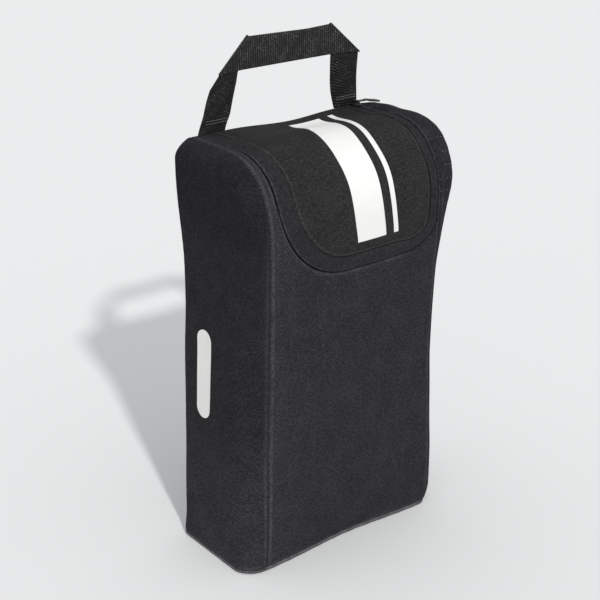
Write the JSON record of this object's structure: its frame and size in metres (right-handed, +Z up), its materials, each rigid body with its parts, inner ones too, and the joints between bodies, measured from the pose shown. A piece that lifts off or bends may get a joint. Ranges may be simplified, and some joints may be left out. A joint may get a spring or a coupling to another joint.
{
  "type": "shoe bag",
  "caption": "Upright black fabric shoe bag with bulging gussets, a U-shaped zipped lid that folds back, and a folded webbing carry handle.",
  "frame": {"origin": "centre of the object's box at floor level", "axes": "+Z up, the front with the lid's drop faces -Y, X runs across the bag"},
  "size_m": [0.2064, 0.1085, 0.413],
  "materials": {
    "woven": "black melange polyester weave, matt, slight sheen",
    "woven_base": "black woven polyester, plain",
    "border_fabric": "smooth black knit band, slightly blue",
    "lining": "black coated lining",
    "zip_tape": "black herringbone zip tape",
    "zip_coil": "black nylon coil",
    "zip_metal": "black painted zinc",
    "pull_tab": "black moulded tab",
    "webbing": "black ribbed polyester webbing",
    "binding": "black binding tape",
    "label": "white satin label, blank",
    "print": "white heat transfer film"
  },
  "bodies": {
    "bag": {"bottom_panel": "woven_base", "front_panel": "woven", "back_panel": "woven", "side_panel_left": "woven", "side_panel_right": "woven", "lid_hinge_strip": "woven", "zip_tape_body": "zip_tape", "zip_teeth_body": "zip_coil", "zip_stop": "zip_metal", "handle_base_left": "webbing", "handle_base_right": "webbing", "seam_binding_left": "binding", "seam_binding_right": "binding", "back_binding_left": "binding", "back_binding_right": "binding", "bottom_binding": "binding", "care_label": "label", "side_mark": "print"},
    "lid": {"lid_panel": "woven", "lid_border": "border_fabric", "lid_lining": "lining", "zip_tape_lid": "zip_tape", "zip_teeth_lid": "zip_coil", "lid_band_wide": "print", "lid_band_narrow": "print"},
    "handle": {"handle_webbing": "webbing"},
    "zip_slider": {"zip_slider": "zip_metal"},
    "zip_link": {"zip_pull_link": "zip_metal"},
    "zip_tab": {"zip_pull_tab": "pull_tab"}
  },
  "joints": [
    {"name": "lid_fold", "type": "hinge", "parent": "bag", "child": "lid", "pos_m": [0, 0.0412, 0.3435], "axis": [-1, 0, 0], "range_deg": [0, 90]},
    {"name": "handle_swing", "type": "hinge", "parent": "bag", "child": "handle", "pos_m": [0, 0.0529, 0.35], "axis": [-1, 0, 0], "range_deg": [-80, 95]},
    {"name": "slider_travel", "type": "slide", "parent": "bag", "child": "zip_slider", "axis": [0, -1, 0], "range_m": [0, 0.03]},
    {"name": "pull_link_turn", "type": "hinge", "parent": "zip_slider", "child": "zip_link", "pos_m": [0.0773, 0.0464, 0.347], "axis": [0, -1, 0], "range_deg": [0, 100]},
    {"name": "pull_tab_turn", "type": "hinge", "parent": "zip_link", "child": "zip_tab", "pos_m": [0.0863, 0.0464, 0.347], "axis": [0, -1, 0], "range_deg": [-4, 86]}
  ]
}
